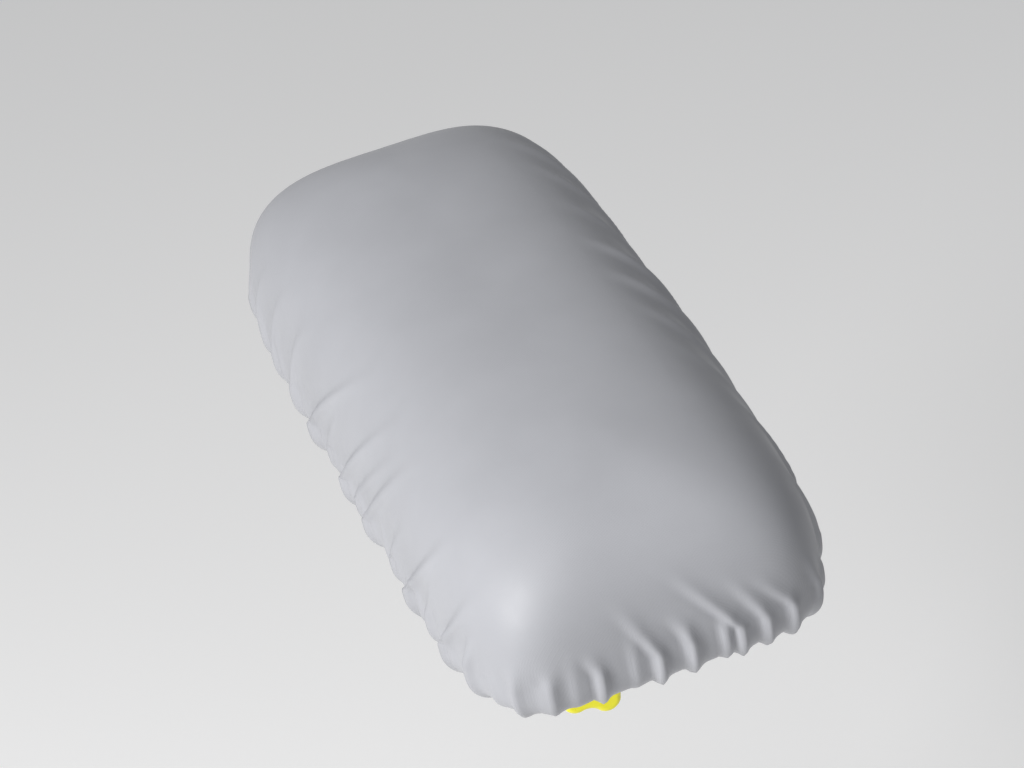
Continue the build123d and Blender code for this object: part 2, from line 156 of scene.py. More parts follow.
def dome_height(reach, inset):
    return (DOME_H - inset) * (1 - np.minimum(reach, 1) ** (2 / FULLNESS)) ** (FULLNESS / 2)


def reach_at(x, y, inset):
    """The reach of the crown's outline that passes through each point, found by halving."""
    low, high = np.full(x.shape, LEAST_REACH), np.full(x.shape, 1.0)
    for _ in range(HALVINGS):
        middle = (low + high) / 2
        half_x, half_y = half_sizes(middle, inset)
        power = squareness_at(middle)
        outside = np.abs(x / half_x) ** power + np.abs(y / half_y) ** power > 1
        low, high = np.where(outside, middle, low), np.where(outside, high, middle)
    return (low + high) / 2


def dome_reaches(spacing, inset):
    """Reaches of the rings from the centre patch out to the rim, evenly spaced along the side's curve."""
    fine = 1 - np.linspace(0, 1, DOME_SAMPLES) ** 2 * (1 - PATCH_REACH)
    run = np.hypot(np.diff(half_sizes(fine, inset)[0]), np.diff(dome_height(fine, inset)))
    run = np.concatenate([[0], np.cumsum(run)])
    count = int(round(run[-1] / spacing))
    return np.interp(np.linspace(run[-1], 0, count + 1)[1:], run, fine)


def grid_faces(ids):
    """Quads of a grid, from the number of each of its points."""
    quads = np.stack([ids[:-1, :-1], ids[:-1, 1:], ids[1:, 1:], ids[1:, :-1]], -1)
    return quads.reshape(-1, 4).tolist()


def band_faces(first, second, count):
    """Quads between two closed rings of count points, from the number of each ring's first point."""
    here = np.arange(count)
    after = (here + 1) % count
    return np.stack([first + here, second + here, second + after, first + after], -1).tolist()


def four_sides(ring, columns):
    """A closed ring's sides, each with both its corners and running towards +X or +Y."""
    long, short = columns
    right, far = ring[: long + 1], ring[long : long + short + 1][::-1]
    left = ring[long + short : 2 * long + short + 1][::-1]
    near = np.concatenate([ring[2 * long + short :], ring[:1]])
    return right, far, left, near


def centre_patch(edge, columns, inset):
    """A grid that fills the innermost ring: inner points, and the number of every grid point."""
    long, short = columns
    right, far, left, near = four_sides(edge, columns)
    u = np.linspace(0, 1, long + 1)[:, None, None]
    v = np.linspace(0, 1, short + 1)[None, :, None]
    grid = (1 - v) * left[:, None] + v * right[:, None] + (1 - u) * near[None] + u * far[None]
    grid -= (1 - u) * ((1 - v) * near[0] + v * near[-1]) + u * ((1 - v) * far[0] + v * far[-1])
    inner = grid[1:-1, 1:-1].reshape(-1, 2)
    z = RIM_Z + dome_height(reach_at(inner[:, 0], inner[:, 1], inset), inset)
    ids = np.zeros((long + 1, short + 1), int)
    ids[1:-1, 1:-1] = np.arange(len(inner)).reshape(long - 1, short - 1)
    ring = len(inner) + np.arange(len(edge))
    ids[:, short], ids[long], ids[:, 0], ids[0] = four_sides(ring, columns)
    return np.column_stack([inner, z]), ids


def hem_outline(hem_inset, columns):
    """The outline of a hem under the board. It has smaller corners than the rim."""
    squareness = PLAN_SQUARENESS + (HEM_SQUARENESS - PLAN_SQUARENESS) * hem_inset / HEM_INSET
    return outline(HALF_X - hem_inset, HALF_Y - hem_inset, squareness, columns)


def shares(length, spacing):
    """Even shares of a length, about spacing apart, up to 1."""
    count = max(2, int(round(length / spacing)))
    return np.arange(1, count + 1) / count


def lower_rings(rim, inset, hem_inset, spacing, columns):
    """Rings from the rim down the side, round the bottom edge and in under the board."""
    out = outward(rim)
    radius = BOTTOM_R - inset
    bottom = COVER_BOTTOM + inset
    side = RIM_Z - bottom - radius
    under = rim - out * radius
    hem = hem_outline(hem_inset, columns)
    rings = [(rim, RIM_Z - side * share) for share in shares(side, spacing)]
    for turn in shares(radius * math.pi / 2, spacing) * (math.pi / 2):
        points = rim - out * (radius * (1 - math.cos(turn)))
        rings.append((points, bottom + radius * (1 - math.sin(turn))))
    for share in shares(hem_inset - inset - radius, spacing):
        rings.append((under + (hem - under) * share, bottom))
    return [np.column_stack([points, np.full(len(rim), z)]) for points, z in rings]


class Skin:
    """A skin over the bolster: a centre patch, then rings out to the rim, down, and under to the hem.

    It lies inset inside the cover, and its hem is hem_inset in from the cover's widest line.
    patch is the patch's inner points, rings is (ring, column, xyz), and rim is the widest ring's number."""

    def __init__(self, inset, columns, spacing, hem_inset=HEM_INSET):
        reaches = np.concatenate([[PATCH_REACH], dome_reaches(spacing, inset)])
        rings = []
        for reach in reaches:
            points = outline(*half_sizes(reach, inset), squareness_at(reach), columns)
            z = np.full(len(points), RIM_Z + dome_height(reach, inset))
            rings.append(np.column_stack([points, z]))
        self.rim = len(rings) - 1
        rings += lower_rings(rings[-1][:, :2], inset, hem_inset, spacing, columns)
        self.patch, self.patch_ids = centre_patch(rings[0][:, :2], columns, inset)
        self.rings = np.array(rings)

    def vertices(self):
        return np.vstack([self.patch, self.rings.reshape(-1, 3)]) + MIDDLE

    def faces(self, first_ring=0, with_patch=True):
        """Quads. first_ring leaves out the rings before it, and vertices are then counted from it."""
        columns = self.rings.shape[1]
        start = len(self.patch) if with_patch else -first_ring * columns
        faces = grid_faces(self.patch_ids) if with_patch else []
        for ring in range(first_ring, len(self.rings) - 1):
            faces += band_faces(start + ring * columns, start + (ring + 1) * columns, columns)
        return faces

    def normals(self):
        """Outward, at the rings' points."""
        along = np.roll(self.rings, -1, 1) - np.roll(self.rings, 1, 1)
        down = np.gradient(self.rings, axis=0)
        normal = np.cross(down, along)
        return normal / np.linalg.norm(normal, axis=2, keepdims=True)

    def depths(self):
        """Distance along the skin from the rim, positive on the way down and under."""
        step = np.linalg.norm(np.diff(self.rings, axis=0), axis=2)
        run = np.vstack([np.zeros((1, self.rings.shape[1])), np.cumsum(step, 0)])
        return run - run[self.rim], step

    def places(self):
        """Distance round the rim of each column, and the whole way round."""
        rim = self.rings[self.rim]
        run = np.concatenate([[0], np.cumsum(np.linalg.norm(np.roll(rim, -1, 0) - rim, axis=1))])
        return run[:-1], run[-1]


def add_object(name, data):
    made = bpy.data.objects.new(name, data)
    bpy.context.scene.collection.objects.link(made)
    return made


def mesh_object(name, vertices, faces):
    mesh = bpy.data.meshes.new(name)
    mesh.from_pydata(np.asarray(vertices).tolist(), [], faces)
    mesh.update()
    mesh.shade_smooth()
    return add_object(name, mesh)


# ---- the cover's folds ----
# Each fold, by the side that it starts on: how far along that side its foot is (counter-clockwise, from 0 to
# 1), how far it leans along the side for each unit up, and then in mm its reach, half-width and height.
# Creased folds have a sharp crease beside them. Soft folds lie along the side, and the hem would draw them
# flat, so they are added after the cloth has settled.
CREASED_FOLDS = {
    "left": [
        (0.04, 0.1, 30, 4.6, 1.2), (0.11, 0.1, 46, 6.0, 1.9), (0.19, 0.15, 50, 6.2, 2.2),
        (0.28, 0.25, 52, 5.8, 2.4), (0.365, 1.05, 64, 4.2, 3.4), (0.43, 0.7, 34, 3.4, 1.6),
        (0.505, 1.0, 64, 4.0, 3.6), (0.555, 1.1, 60, 3.0, 2.2), (0.605, 1.0, 62, 3.8, 3.6),
        (0.70, 0.8, 36, 3.2, 2.2), (0.77, 1.05, 58, 3.6, 3.8), (0.835, 0.5, 26, 2.8, 1.8),
        (0.893, 0.9, 46, 3.4, 3.8), (0.955, 0.4, 26, 2.8, 2.8),
    ],
    "near": [
        (0.07, 0.0, 14, 2.4, 2.2), (0.17, 0.0, 12, 2.4, 2.0), (0.30, -0.3, 16, 2.6, 1.8),
        (0.46, -0.5, 34, 3.0, 2.4), (0.55, -0.4, 22, 2.6, 1.8), (0.68, -0.7, 42, 3.0, 3.0),
        (0.75, -0.5, 30, 2.6, 2.2), (0.83, -0.7, 26, 2.8, 2.0), (0.93, -0.2, 22, 3.2, 1.8),
    ],
    "right": [(0.06, 0.0, 44, 4.6, 2.8), (0.13, 0.3, 60, 4.8, 3.0)],
}
SOFT_FOLDS = {
    "right": [
        (0.20, 0.4, 84, 6.0, 2.6), (0.29, 0.5, 98, 6.6, 4.4), (0.375, 0.6, 108, 6.6, 6.2),
        (0.45, 0.8, 110, 6.0, 6.6), (0.53, 1.1, 98, 6.0, 4.4), (0.595, 1.4, 96, 5.0, 5.6),
        (0.65, 1.6, 98, 5.4, 5.0), (0.70, 1.4, 84, 4.4, 5.4), (0.77, 1.4, 76, 4.4, 4.4),
        (0.85, 1.2, 60, 4.4, 3.4),
    ],
    "far": [
        (0.12, 0.8, 40, 4.2, 2.4), (0.32, 0.2, 30, 3.8, 2.0), (0.55, 0.0, 26, 3.6, 1.8),
        (0.78, -0.6, 36, 4.0, 2.2),
    ],
}
SIDES = ("right", "far", "left", "near")
FOLD_WIDENS = 0.8  # how much wider a fold is at its top than at its foot
FOLD_TROUGHS = 0.55  # how deep the troughs beside a fold are
FOLD_TILT = 0.25  # how much steeper one side of a fold is
FOLD_FADE = 1.8  # how early a fold dies out on its way up
HEM_FLATTENS = 0.3  # how much lower a fold is at the hem than at the rim
SMALL_SPACING = (9 * MM, 19 * MM)
SMALL_REACH = (4 * MM, 26 * MM)
SMALL_WIDTH = (2.3 * MM, 3.8 * MM)
SMALL_HEIGHT = (0.5 * MM, 1.7 * MM)
SMALL_LEAN = (-0.3, 0.3)


def folds_round(place, around, folds):
    """Where each fold's foot is round the rim, its lean, reach, width and height."""
    starts = np.cumsum([0, CLOTH_COLUMNS[0], CLOTH_COLUMNS[1], CLOTH_COLUMNS[0]])
    found = []
    for side, rows in folds.items():
        number = SIDES.index(side)
        first = place[starts[number]]
        last = place[starts[number + 1]] if number < 3 else around
        for along, lean, reach, width, height in rows:
            found.append((first + along * (last - first), lean, reach * MM, width * MM, height * MM))
    return found


def small_gathers(around, rng):
    """The small gathers between the folds, all the way round."""
    found = []
    foot = 0.0
    while foot < around - SMALL_SPACING[0] / 2:
        shape = (rng.uniform(*SMALL_REACH), rng.uniform(*SMALL_WIDTH), rng.uniform(*SMALL_HEIGHT))
        found.append((foot, rng.uniform(*SMALL_LEAN), *shape))
        foot += rng.uniform(*SMALL_SPACING)
    return found


def fold_places(depth, place, around, foot, lean, reach):
    """How far each point is from a fold's line, and its share of the way up the fold."""
    up = np.clip(-depth, 0, None)
    across = (place - foot - lean * up + around / 2) % around - around / 2
    return across, np.clip(up / reach, 0, 1)


def fold_lift(depth, place, around, found):
    """How far the folds lift the cloth: each is pinched at its foot, and wider and softer further up."""
    lift = np.zeros(np.broadcast(depth, place).shape)
    for foot, lean, reach, width, height in found:
        across, share = fold_places(depth, place, around, foot, lean, reach)
        across = across / (width * (1 + FOLD_WIDENS * share))
        profile = (1 - FOLD_TROUGHS * across**2 + FOLD_TILT * across) * np.exp(-(across**2))
        fade = (1 - share) ** FOLD_FADE * (1 - HEM_FLATTENS * np.clip(depth / HEM_INSET, 0, 1))
        lift += height * profile * fade
    return lift


def crease_lift(depth, place, around, found):
    """The sharp crease beside each fold: a narrow valley with a narrow ridge next to it."""
    lift = np.zeros(depth.shape)
    for foot, lean, reach, _, height in found:
        across, share = fold_places(depth, place, around, foot, lean, reach * CREASE_REACH)
        across = across / (CREASE_WIDTH * (1 + CREASE_WIDENS * share)) + CREASE_ASIDE
        profile = RIDGE_SHARE * np.exp(-((across - RIDGE_ASIDE) ** 2)) - np.exp(-(across**2))
        fade = (1 - share) ** CREASE_FADE * (1 - np.clip(depth / HEM_INSET, 0, 1)) ** 0.5
        lift += CREASE_SHARE * height * profile * fade
    return np.clip(lift, -CREASE_LIMIT, CREASE_LIMIT)


# ---- the cover ----
CUT_SPARE = 0.12  # how much longer round its edge the cover is cut than the bolster
CUT_FROM = 30 * MM  # the spare cloth starts this far above the widest line
CUT_RUN = 70 * MM
CUT_CURVE = 1.3  # how gradually it starts
LEAST_DROP = 0.3  # each ring of the cut drops at least this share of its length
CUT_DRAW = 0.97  # its share of the side's length, so that the elastic draws it taut
BODY_INSET = 2.6 * MM  # the cloth settles over a body this far inside it
BODY_COLUMNS = (80, 30)
BODY_SPACING = 5 * MM
FOLD_GAIN = 1.2  # how far the settled folds are drawn out again, because the cloth relaxes them
FOLD_LIMIT = 6 * MM
SETTLE_RINGS = 10  # rings over which the settled edge runs into the smooth top
SOFT_RINGS = 7  # rings over which the soft folds fade in from the smooth top
CREASE_WIDTH = 1.7 * MM
CREASE_REACH = 0.75
CREASE_SHARE = 0.5
CREASE_LIMIT = 1.7 * MM
CREASE_WIDENS = 0.7
CREASE_ASIDE = 1.6  # from a fold to its crease, in crease widths
CREASE_FADE = 1.2
RIDGE_ASIDE = 1.8  # from a crease to its ridge, in crease widths
RIDGE_SHARE = 0.8
PLEATS_FROM = 16 * MM  # how far round under the bolster the fine pleats start
PLEATS_RUN = 24 * MM
PLEATS_HEIGHT = 0.45 * MM
PLEATS_ROUND = (61, 89, 127)


def cut_shape(skin):
    """The cover as it was cut: a little shorter down each line of the side, and longer round its edge."""
    depth, step = skin.depths()
    spare = CUT_SPARE * np.clip((depth + CUT_FROM) / CUT_RUN, 0, 1) ** CUT_CURVE
    cut = skin.rings.copy()
    cut[..., :2] *= (1 + spare)[..., None]
    for ring in range(skin.rim - CLOTH_RINGS_UP // 2 + 1, len(cut)):
        wanted = step[ring - 1] * CUT_DRAW
        flat = np.linalg.norm(cut[ring, :, :2] - cut[ring - 1, :, :2], axis=1)
        drop = np.sqrt(np.maximum(wanted**2 - flat**2, (LEAST_DROP * wanted) ** 2))
        cut[ring, :, 2] = cut[ring - 1, :, 2] - drop
    return cut


def simulate(skin, lifted, cut):
    """Settles the cover's edge as cloth over the bolster. Its top and its hem stay where they are."""
    first = skin.rim - CLOTH_RINGS_UP
    columns = skin.rings.shape[1]
    start = (lifted[first:] + MIDDLE).reshape(-1, 3)
    cloth = mesh_object("settling_cover", start, skin.faces(first, with_patch=False))
    cloth.shape_key_add(name="start")
    key = cloth.shape_key_add(name="cut")
    key.data.foreach_set("co", (cut[first:] + MIDDLE).astype(np.float32).ravel())
    key.value = 0
    held = cloth.vertex_groups.new(name="held")
    last = columns * (len(skin.rings) - first)
    held.add(list(range(2 * columns)) + list(range(last - 2 * columns, last)), 1.0, "ADD")
    body_skin = Skin(BODY_INSET, BODY_COLUMNS, BODY_SPACING)
    body = mesh_object("settling_body", body_skin.vertices(), body_skin.faces())
    body.modifiers.new("collision", "COLLISION")
    body.collision.thickness_outer = 0.4 * MM
    body.collision.thickness_inner = 6 * MM
    body.collision.cloth_friction = 3
    body.collision.damping = 0.5
    modifier = cloth.modifiers.new("cloth", "CLOTH")
    settings = modifier.settings
    settings.quality = 5
    settings.mass = 0.3
    settings.tension_stiffness = 60
    settings.compression_stiffness = 15
    settings.shear_stiffness = 5
    settings.bending_stiffness = 2
    settings.tension_damping = settings.compression_damping = settings.shear_damping = 5
    settings.bending_damping = 0.5
    settings.air_damping = 5
    settings.vertex_group_mass = "held"
    settings.rest_shape_key = key
    settings.effector_weights.gravity = 0
    settings.use_pressure = True
    settings.uniform_pressure_force = -0.5
    modifier.collision_settings.distance_min = 1 * MM
    modifier.collision_settings.use_self_collision = False
    scene = bpy.context.scene
    for timed in (scene, modifier.point_cache):
        timed.frame_start, timed.frame_end = 1, CLOTH_FRAMES + 1
    for number in range(1, CLOTH_FRAMES + 1):
        scene.frame_set(number)
    settled = lifted.copy()
    settled[first:] = shown_points(cloth).reshape(-1, columns, 3) - MIDDLE
    for made in (cloth, body):
        bpy.data.objects.remove(made)
    scene.frame_set(1)
    return settled


def read(items, name, width):
    """Numbers of a mesh's points, in rows of width."""
    values = np.zeros(len(items) * width, np.float32)
    items.foreach_get(name, values)
    return values.reshape(-1, width).astype(float)


def shown_points(made):
    """The points of an object's mesh with its modifiers applied."""
    shown = made.evaluated_get(bpy.context.evaluated_depsgraph_get())
    points = read(shown.to_mesh().vertices, "co", 3)
    shown.to_mesh_clear()
    return points


# ---- sheets with thickness ----
def two_sided(name, outer, outer_faces, inner, inner_faces, outer_edge, inner_edge):
    """A closed sheet: an outer side, an inner side, and a strip between their open edges.

    The inner side's edge may have half as many points as the outer's."""
    shift = len(outer)
    vertices = np.vstack([outer, inner])
    faces = [tuple(face) for face in outer_faces]
    faces += [tuple(shift + corner for corner in reversed(face)) for face in inner_faces]
    times = len(outer_edge) // len(inner_edge)
    for i, at in enumerate(inner_edge):
        after = inner_edge[(i + 1) % len(inner_edge)]
        run = [outer_edge[(times * i + j) % len(outer_edge)] for j in range(times + 1)]
        faces += [(shift + at, run[j + 1], run[j]) for j in range(times)]
        faces.append((shift + at, shift + after, run[-1]))
    return mesh_object(name, vertices, faces)


def edge_loop(mesh, first):
    """The open edge of a mesh, as a list of vertices in order, beginning at vertex first."""
    uses = {}
    for polygon in mesh.polygons:
        for key in polygon.edge_keys:
            uses[key] = uses.get(key, 0) + 1
    after = {}
    for polygon in mesh.polygons:
        corners = list(polygon.vertices)
        for here, there in zip(corners, corners[1:] + corners[:1]):
            if uses[tuple(sorted((here, there)))] == 1:
                after[here] = there
    loop = [first]
    while after[loop[-1]] != first:
        loop.append(after[loop[-1]])
    return loop


def deepest_dip(mesh, points, normals):
    """How far a fine mesh dips beside each point of the coarse mesh that it was divided from."""
    edges = np.zeros(len(mesh.edges) * 2, np.int32)
    mesh.edges.foreach_get("vertices", edges)
    edges = edges.reshape(-1, 2)
    pairs = np.vstack([edges, edges[:, ::-1]])
    here, there = pairs[pairs[:, 0] < len(normals)].T
    dip = -((points[there] - points[here]) * normals[here]).sum(1)
    deepest = np.zeros(len(normals))
    np.maximum.at(deepest, here, dip)
    return deepest


def fine_pleats(depth, turn, rng):
    """How far the cloth next to the hem is lifted in small tight pleats, as the elastic gathers it."""
    near_hem = np.clip((depth - PLEATS_FROM) / PLEATS_RUN, 0, 1)
    waves = np.zeros(len(depth))
    for count in PLEATS_ROUND:
        waves += np.sin(count * turn + rng.uniform(0, 2 * math.pi))
    return PLEATS_HEIGHT * waves * near_hem


def carried(mesh, name):
    """The numbers that a divided mesh carries under this name."""
    return read(mesh.attributes[name].data, "value", 1)[:, 0]


def divided(rough, values):
    """An object's mesh, divided and smoothed once, with the named values carried to its new points."""
    for name, numbers in values.items():
        layer = rough.data.attributes.new(name, "FLOAT", "POINT")
        layer.data.foreach_set("value", numbers.astype(np.float32))
    modifier = rough.modifiers.new("smooth", "SUBSURF")
    modifier.levels = modifier.render_levels = 1
    return bpy.data.meshes.new_from_object(rough.evaluated_get(bpy.context.evaluated_depsgraph_get()))


def fade_in(share):
    """A soft step from 0 to 1."""
    share = np.clip(share, 0, 1)
    return share**2 * (3 - 2 * share)


def folded_rings(skin, normals, creased, soft):
    """The skin's rings with the creased folds, settled as cloth, and then the soft folds."""
    depth, _ = skin.depths()
    place, around = skin.places()
    ring = np.arange(len(skin.rings))
    lifted = skin.rings + normals * fold_lift(depth, place[None, :], around, creased)[..., None]
    settled = simulate(skin, lifted, cut_shape(skin))
    share = fade_in((ring - skin.rim + CLOTH_RINGS_UP) / SETTLE_RINGS)
    moved = lifted - skin.rings + (settled - lifted) * share[:, None, None]
    far = np.linalg.norm(moved, axis=2, keepdims=True)
    moved *= FOLD_GAIN * np.minimum(1, FOLD_LIMIT / np.maximum(FOLD_GAIN * far, 1e-9))
    soft_lift = fold_lift(depth, place[None, :], around, soft) * fade_in(ring / SOFT_RINGS)[:, None]
    moved += normals * soft_lift[..., None]
    return skin.rings + moved


def make_cover():
    """The cover, the line of points above its hem, and the cloth's normals there."""
    rng = np.random.default_rng(SEED)
    skin = Skin(0, CLOTH_COLUMNS, CLOTH_SPACING)
    normals = skin.normals()
    depth, _ = skin.depths()
    place, around = skin.places()
    creased = folds_round(place, around, CREASED_FOLDS) + small_gathers(around, rng)
    rings = folded_rings(skin, normals, creased, folds_round(place, around, SOFT_FOLDS))
    points = np.vstack([skin.patch, rings.reshape(-1, 3)]) + MIDDLE
    faces = skin.faces()
    rough = mesh_object("rough_cover", points, faces)

    # the creases are placed by the depth and the turn round the cover, carried as its cosine and sine
    turn = np.tile(place / around * 2 * math.pi, len(rings))
    top = np.zeros(len(skin.patch))
    values = {
        "depth": np.concatenate([top + depth.min(), depth.ravel()]),
        "turn_cos": np.concatenate([top + 1, np.cos(turn)]),
        "turn_sin": np.concatenate([top, np.sin(turn)]),
    }
    for axis, numbers in zip("xyz", normals.reshape(-1, 3).T):
        values["normal_" + axis] = np.concatenate([top + (axis == "z"), numbers])
    smooth = divided(rough, values)
    fine_turn = np.arctan2(carried(smooth, "turn_sin"), carried(smooth, "turn_cos")) % (2 * math.pi)
    fine_depth = carried(smooth, "depth")
    creases = crease_lift(fine_depth, fine_turn * around / (2 * math.pi), around, creased)
    creases += fine_pleats(fine_depth, fine_turn, rng)
    body_normals = np.stack([carried(smooth, "normal_" + axis) for axis in "xyz"], -1)
    outer = read(smooth.vertices, "co", 3)
    outer += body_normals * creases[:, None]

    # the inner side stays coarse, and lies under the deepest crease beside each of its points
    count, columns = len(points), len(place)
    coarse_normals = read(rough.data.vertices, "normal", 3)
    thickness = COVER_T + deepest_dip(smooth, outer, coarse_normals)
    inner = outer[:count] - coarse_normals * thickness[:, None]
    hem = count - columns
    cover = two_sided(
        "stretch_cover", outer, [tuple(p.vertices) for p in smooth.polygons], inner, faces,
        edge_loop(smooth, hem), edge_loop(rough.data, hem),
    )
    seam = slice(hem - 2 * columns, hem - columns)
    seam_normals = read(smooth.vertices, "normal", 3)[seam]
    bpy.data.objects.remove(rough)
    return cover, outer[seam], seam_normals


# ---- the hem and its stitches ----
def tube_faces(count, around):
    """Quads of a closed tube of count sections with around points in each."""
    faces = []
    for i in range(count):
        faces += band_faces(i * around, (i + 1) % count * around, around)
    return faces


HEM_COLUMNS = (300, 118)
HEM_POINTS = 14  # round the hem's section
HEM_FURTHER_IN = 0.5 * MM  # from the cover's edge to the middle of the hem
HEM_HALF_WIDTH = 3.3 * MM
HEM_SLIMMER = 0.92  # its share of the CAD hem's height, which leaves room for its ruffles
HEM_RUFFLE = 0.13
HEM_RUFFLES_ROUND = (73, 109, 151)
HEM_SAG = 0.25 * MM
HEM_SAGS_ROUND = 97


def make_hem(rng):
    """The hem: a flat tube whose section swells and sags in small ruffles."""
    hem_low, hem_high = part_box("cover_hem")
    line = hem_outline(HEM_INSET + HEM_FURTHER_IN, HEM_COLUMNS) + [CENTRE.x, CENTRE.y]
    out = outward(line)
    middle = (hem_high.z + hem_low.z) / 2
    half_height = (hem_high.z - hem_low.z) / 2 * HEM_SLIMMER
    turn = np.arange(len(line)) / len(line) * 2 * math.pi
    grow = np.zeros(len(line))
    for waves in HEM_RUFFLES_ROUND:
        grow += HEM_RUFFLE * np.sin(waves * turn + rng.uniform(0, 2 * math.pi))
    drop = HEM_SAG * np.sin(HEM_SAGS_ROUND * turn + rng.uniform(0, 2 * math.pi))
    vertices = np.zeros((len(line), HEM_POINTS, 3))
    for i, angle in enumerate(np.linspace(0, 2 * math.pi, HEM_POINTS, endpoint=False)):
        reach = np.cos(angle) * HEM_HALF_WIDTH * (1 + 0.5 * grow)
        vertices[:, i, :2] = line + out * reach[:, None]
        vertices[:, i, 2] = middle + np.sin(angle) * half_height * (1 + grow) - drop
    return mesh_object("gathered_hem", vertices.reshape(-1, 3), tube_faces(len(line), HEM_POINTS))


STITCH_R = 0.32 * MM
STITCH_SHARE = 0.62
STITCH_SINK = 0.1 * MM
STITCH_SIDES = 6
STITCH_PROFILE = ((0.0, 0.35), (0.18, 0.9), (0.5, 1.0), (0.82, 0.9), (1.0, 0.35))  # share, radius


def make_stitches(line, normals):
    """Short, round-ended stitches, one between each pair of points of a closed line."""
    vertices, faces = [], []
    sides = STITCH_SIDES
    for i, start in enumerate(line):
        end = line[(i + 1) % len(line)]
        along = end - start
        normal = normals[i]
        side = np.cross(along / np.linalg.norm(along), normal)
        first = len(vertices)
        for share, radius in STITCH_PROFILE:
            middle = start + along * (0.5 + (share - 0.5) * STITCH_SHARE)
            middle = middle + normal * (STITCH_R * radius - STITCH_SINK)
            for k in range(sides):
                angle = 2 * math.pi * k / sides
                out = math.cos(angle) * side + math.sin(angle) * normal
                vertices.append(middle + STITCH_R * radius * out)
        for ring in range(len(STITCH_PROFILE) - 1):
            for k in range(sides):
                a, b = first + ring * sides + k, first + ring * sides + (k + 1) % sides
                faces.append((a, b, b + sides, a + sides))
        faces.append(tuple(first + k for k in reversed(range(sides))))
        last = first + (len(STITCH_PROFILE) - 1) * sides
        faces.append(tuple(last + k for k in range(sides)))
    return mesh_object("hem_stitches", vertices, faces)


# ---- the layers under the cover ----
LAYER_COLUMNS = (84, 32)
LAYER_SPACING = 4.5 * MM
VINYL_INSET = 3.4 * MM
VINYL_T = 1.0 * MM
VINYL_EDGE = 30 * MM  # how far in under the board its edge lies
WADDING_INSET = 4.6 * MM
WADDING_T = 2.0 * MM
WADDING_EDGE = 16 * MM
FOAM_INSET = 6.8 * MM
FOAM_GAP = 0.2 * MM  # between the two foams


def layer_shell(name, inset, thickness, hem_inset):
    """A closed shell over the bolster, open under the board."""
    sides, edges = [], []
    for depth in (inset, inset + thickness):
        skin = Skin(depth, LAYER_COLUMNS, LAYER_SPACING, hem_inset)
        points = skin.vertices()
        sides += [points, skin.faces()]
        edges.append(list(range(len(points) - skin.rings.shape[1], len(points))))
    return two_sided(name, *sides, *edges)


def level_outline(inset, level):
    """The outline of a skin at one level of its crown, or of its side."""
    share = np.clip((level - RIM_Z) / (DOME_H - inset), 0, 1)
    reach = (1 - share ** (2 / FULLNESS)) ** (FULLNESS / 2) if share > 0 else 1.0
    points = outline(*half_sizes(reach, inset), squareness_at(reach), LAYER_COLUMNS)
    return np.column_stack([points, np.full(len(points), level)])


def foam_block(name, inset, low, top=None):
    """A foam block with the bolster's form between two levels. Without a top it has the whole crown."""
    skin = Skin(inset, LAYER_COLUMNS, LAYER_SPACING)
    highest = math.inf if top is None else top
    rings = [ring for ring in skin.rings[: skin.rim + 1] if low < ring[0, 2] < highest]
    rings.append(level_outline(inset, low))
    if top is None:
        patch, faces = skin.patch, grid_faces(skin.patch_ids)
    else:
        patch, faces = skin.patch[:0], []
        rings.insert(0, level_outline(inset, top))
    start, columns = len(patch), len(rings[0])
    for ring in range(len(rings) - 1):
        faces += band_faces(start + ring * columns, start + (ring + 1) * columns, columns)
    if top is not None:
        faces.append(tuple(range(columns)))
    last = start + (len(rings) - 1) * columns
    faces.append(tuple(reversed(range(last, last + columns))))
    return mesh_object(name, np.vstack([patch, *rings]) + MIDDLE, faces)


# ---- materials ----
WAVE_AT_SCALE_1 = 0.314  # how far apart the wave texture's waves are at a scale of 1


